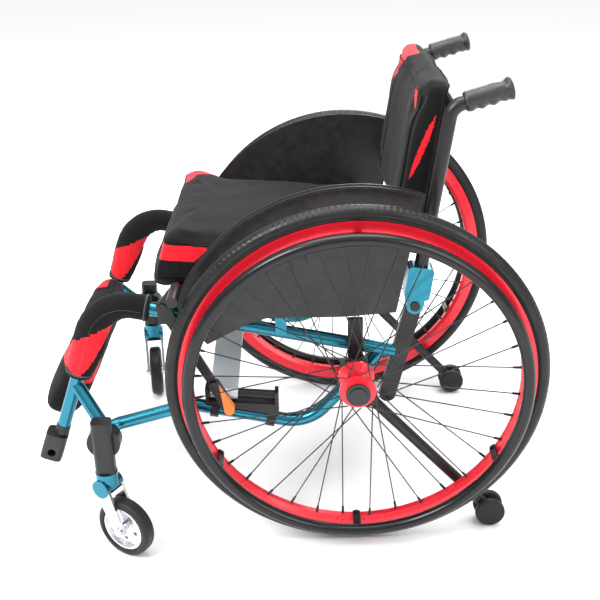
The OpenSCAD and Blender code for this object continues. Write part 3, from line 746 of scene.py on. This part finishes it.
def calf_pad():
    """Between the front tubes, with a lobe below each end and a red patch beside each tube."""
    where = FRONT @ Matrix.Translation(Vector((0, -5, 74)) * MM)
    half = (0.1785, 0.023, 0.051)
    o = block("calf_pad_cover", half, 0.020, [black_cloth, red_cloth])
    co = points_of(o)
    x, y, z = co.T * 1000
    sides = ease(np.clip((np.abs(x) - 60) / 70, 0, 1))
    low = np.clip((20 - z) / 70, 0, 1)
    co[:, 2] += np.where(z < 0, 4 - 40 * sides * low, -4 * sides) * MM
    co[:, 1] -= 20 * sides * low * np.clip((30 - y) / 50, 0, 1) * MM
    set_points(o, co)
    swell(o)

    def depth(c):
        x, y, z = c.T * 1000
        edge = dent(y - 2, 2.2) * ((z > 42) | (z < -52) | (np.abs(x) > 172))
        band = dent(np.abs(x) - 112, 3.0) * (y < 0)
        waves = wrinkles(c, 20, 6.0) * 1.8 + wrinkles(c, 55, 4.0) * 0.4
        return (-1.6 * edge - 2.0 * band + waves) * MM

    press(o, depth)

    def red(c):
        x, y, z = c.T
        return np.minimum(np.abs(x) - 118, 18 - np.abs(z + 0.5 * y - 16))

    patch(o, red)
    stands_for("calf_pad")
    seams = [
        stitch(f"calf_pad_stitch_{name}", o, line((s * 108, -60, -52), (s * 108, -60, 42)))
        for name, s in SIDES
    ]
    binding = piping("calf_pad_binding", o, loop_line(178, 53, 24, 2), 1.4)
    set_down(where, "left_frame", o, *seams, binding)


# A front tube in (y, z) millimetres at x = 0: it rises to the front by RAIL_TILT as far as the knee, and
# then runs DOWN; REAR points back, square to that.
RAIL_TILT, FRONT_LEAN = math.radians(12), math.radians(20)
RAIL_Z, KNEE_Y, SLEEVE_Y = 333, -405, -326.4
KNEE_R, SLEEVE_DROP = 60, 142
KNEE = np.array((0, KNEE_Y, RAIL_Z - KNEE_Y * math.tan(RAIL_TILT)))
DOWN = np.array((0, -math.sin(FRONT_LEAN), -math.cos(FRONT_LEAN)))
REAR = np.array((0, math.cos(FRONT_LEAN), -math.sin(FRONT_LEAN)))


def front_path():
    """The axis of a sleeve: along the rail, round the knee and down the front tube."""
    knee, down = Vector(KNEE), Vector(DOWN)
    start = Vector((0, SLEEVE_Y, RAIL_Z - SLEEVE_Y * math.tan(RAIL_TILT)))
    u = (knee - start).normalized()
    turn = u.angle(down)
    back_off = KNEE_R * math.tan(turn / 2)
    n = (down - u * u.dot(down)).normalized()
    centre = knee - u * back_off + n * KNEE_R
    pts = [start, knee - u * back_off]
    for k in range(1, 25):
        a = turn * k / 24
        pts.append(centre - n * (KNEE_R * math.cos(a)) + u * (KNEE_R * math.sin(a)))
    pts.append(knee + down * SLEEVE_DROP)
    return pts


def sleeve_red(c):
    """Positive inside the red sash below the knee, which is higher at the back of the tube."""
    v = (c - KNEE) @ DOWN
    t = np.clip(((c - KNEE) @ REAR) / 25, -1.2, 1.2)
    return np.minimum(v - 58 + 22 * t, 134 - t ** 2 * np.where(t > 0, 62, 14) - v)


def front_sleeves():
    """Padded sleeves on the front tubes, with creases at the knee, a fuller back and bound ends."""
    base = resample([p * MM for p in front_path()], 3.0 * MM)
    axes = frames_along(base)
    total = len(base)
    for name, s in SIDES:

        def radius(i, a, s=s):
            t = i / (total - 1)
            cuff = 0.9 * (dent(t - 0.012, 0.012) + dent(t - 0.988, 0.012))
            bend = math.sin(math.pi * min(1, max(0, (t - 0.12) / 0.42)))
            fold = 0.7 * math.sin(i * 0.95) * bend * max(0, math.cos(a))
            puff = 0.7 * noise.noise(base[i] * 30 + Vector((math.cos(a), math.sin(a), s)) * 0.8)
            seam = 1.1 * (dent(t - 0.53, 0.008) + dent(t - 0.83, 0.008))
            return (20.6 + cuff + fold + puff - seam) * MM

        o = sweep(f"{name}_sleeve_cover", base, radius, [black_cloth, red_cloth], 36)
        co = points_of(o) * 1000
        v = (co - KNEE) @ DOWN
        q = (co - KNEE) @ REAR
        bulk = np.clip(1 - ((v - 74) / 66) ** 2, 0, 1)
        co += REAR * (bulk * np.where(q > 0, 9 * q / 21, 4 * q / 21))[:, None]
        set_points(o, co / 1000)
        patch(o, sleeve_red)
        stands_for(f"{name}_sleeve")
        outer = [p + Vector((s * 30 * MM, 0, 0)) for p in base[4:-4]]
        extras = [stitch(f"{name}_sleeve_stitch", o, outer)]
        for tag, i in (("top", 2), ("bottom", total - 3)):
            _, u, v = axes[i]
            turns = [k * math.pi / 16 for k in range(32)]
            ring = [base[i] + (u * math.cos(a) + v * math.sin(a)) * 21.0 * MM for a in turns]
            extras.append(sweep(f"{name}_sleeve_binding_{tag}", ring, 1.5 * MM, [binding_cloth], 8, True))
        set_down(place(s * FRAME_X, 0, 0, 0), f"{name}_frame", o, *extras, fold=False)


seat_cushion()
seat_sling()
back_rest()
back_pocket()
calf_pad()
front_sleeves()

# ---------------------------------------------------------------- small hardware


CAMBER = 3
TRACK_X = 277
SPOKES = 36
NIPPLE = ((0, 1.3), (2, 2.1), (12.6, 2.3), (13.2, 3.0), (14.2, 3.0))
VALVE = ((0, 4.2), (2, 4.2), (2.2, 2.7), (20, 2.7), (20.4, 3.4), (31, 3.4), (32, 2.6))
FLANGE_R, SPOKE_END_R, VALVE_R = 30, 255.5, 256.5


def wheel_frame(s):
    """The axis frame of a rear wheel: z points outboard along the axle, x points down."""
    a = math.radians(90 + CAMBER)
    z = Vector((math.sin(a) * s, 0, math.cos(a)))
    x = Vector((math.cos(a) * s, 0, -math.sin(a)))
    m = Matrix((x, Vector((0, 1, 0)), z)).transposed().to_4x4()
    return Matrix.Translation(Vector((s * TRACK_X * MM, CY, AXLE_Z))) @ m


def pegs(name, spots, profile, mat, sides):
    """Small turned pegs on the wheel, one for each (start, direction), facet by facet."""
    verts, faces = [], []
    for start, d in spots:
        lathe(verts, faces, start, d, profile, sides)
    return new_object(name, verts, faces, [mat], smooth=False)


def round_point(r, a, z):
    return Vector((r * math.cos(a), r * math.sin(a), z))


def on_wheel(name, o):
    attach(o, f"{name}_wheel")


for name, s in SIDES:
    wheel = wheel_frame(s)
    turned = wheel.to_3x3()
    spots = []
    for i in range(SPOKES):
        a = math.radians(360 / SPOKES * (i + 0.5))
        z = 3 if i % 2 == 0 else -3
        lead = 1 if (i // 2) % 2 == 0 else -1
        foot = round_point(FLANGE_R, a + lead * math.pi / 4, z * 7 + lead * 1.6)
        tip = round_point(SPOKE_END_R, a, z)
        d = (tip - foot).normalized()
        spots.append((wheel @ ((tip - d * 13) * MM), (turned @ d).normalized()))
    on_wheel(name, pegs(f"{name}_spoke_nipples", spots, NIPPLE, spoke_metal, 6))
    a = math.radians(200)
    spot = (wheel @ (round_point(VALVE_R, a, 0) * MM), (turned @ -round_point(1, a, 0)).normalized())
    on_wheel(name, pegs(f"{name}_valve", [spot], VALVE, black_plastic, 12))


GRIP_RISE = math.radians(16)
GRIP_END_R = 0.0155
GRIP_PROUD = 0.001


def grips():
    """Moulded grips with finger waves below and a bulb at the end, round the axis of the CAD grips."""
    out = Vector((0, math.cos(GRIP_RISE), math.sin(GRIP_RISE)))
    n = 56
    for name, _ in SIDES:
        lo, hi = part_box(f"{name}_push_grip")
        length = ((hi - lo).y - 2 * GRIP_END_R * math.sin(GRIP_RISE)) / math.cos(GRIP_RISE)
        start = (lo + hi) / 2 - out * (length / 2 + GRIP_PROUD)
        pts = [start + out * ((length + 2 * GRIP_PROUD) * i / (n - 1)) for i in range(n)]
        axes = frames_along(pts)

        def radius(i, a, axes=axes):
            t = i / (n - 1)
            _, u, v = axes[i]
            below = max(0.0, -(u * math.cos(a) + v * math.sin(a)).z)
            ends = min(1, (1 - t) * 5) * min(1, t * 6)
            waves = 1.5 * below * math.sin(2 * math.pi * (t * 4.2 - 0.1)) * ends
            bulb = 2.2 * dent(t - 0.93, 0.06) - 0.8 * dent(t - 0.8, 0.08)
            rounding = 1 - 0.45 * max(0, (t - 0.955) / 0.045) ** 2 - 0.12 * max(0, 1 - t / 0.04)
            return (15.3 + waves + bulb) * rounding * MM

        o = sweep(f"{name}_grip_moulded", pts, radius, [grip_plastic], 40)
        stands_for(f"{name}_push_grip")
        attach(o, f"{name}_back")


grips()

# ---------------------------------------------------------------- stage

FLOOR_HALF = 16
corners = [(x * FLOOR_HALF, y * FLOOR_HALF, 0) for x, y in ((-1, -1), (1, -1), (1, 1), (-1, 1))]
paper = Shader("floor_paper", (0.93, 0.93, 0.93), 0.9).mat
floor = new_object("floor", corners, [(0, 1, 2, 3)], [paper], False)

# A soft studio: shade by height from straight down (0) to straight up (1), darkest just above the horizon
SKY = ((0.0, 0.9), (0.46, 0.8), (0.53, 0.55), (0.60, 0.32), (0.74, 0.85), (1.0, 1.0))
world = bpy.data.worlds.new("studio")
bpy.context.scene.world = world
world.use_nodes = True
sky = world.node_tree
ramp = sky.nodes.new("ShaderNodeValToRGB")
stops = ramp.color_ramp.elements
for spot, shade in SKY:
    stop = stops.new(spot) if spot not in (0.0, 1.0) else stops[int(spot)]
    stop.color = (shade, shade, shade, 1)
height = sky.nodes.new("ShaderNodeMapRange")
height.inputs["From Min"].default_value = -1
split = sky.nodes.new("ShaderNodeSeparateXYZ")
sky.links.new(sky.nodes.new("ShaderNodeTexCoord").outputs["Generated"], split.inputs[0])
sky.links.new(split.outputs[2], height.inputs["Value"])
sky.links.new(height.outputs[0], ramp.inputs[0])
sky.links.new(ramp.outputs[0], sky.nodes["Background"].inputs[0])
sky.nodes["Background"].inputs[1].default_value = 1.15
bpy.context.scene.view_settings.view_transform = "Standard"


def lamp(name, spot, target, size, power):
    data = bpy.data.lights.new(name, "AREA")
    data.energy, data.size, data.shape = power, size, "DISK"
    o = bpy.data.objects.new(name, data)
    bpy.context.scene.collection.objects.link(o)
    o.location = spot
    o.rotation_mode = "QUATERNION"
    o.rotation_quaternion = (Vector(target) - Vector(spot)).to_track_quat("-Z", "Y")


lamp("key", (1.6, -1.6, 2.4), (0, 0, 0.4), 1.2, 70)
lamp("fill", (1.8, 1.6, 1.5), (0, 0, 0.4), 1.6, 26)
lamp("top", (0, 0, 3.0), (0, 0, 0), 2.4, 75)
lamp("back", (-2.0, 0.6, 1.8), (0, 0, 0.5), 1.2, 24)

bpy.context.view_layer.update()
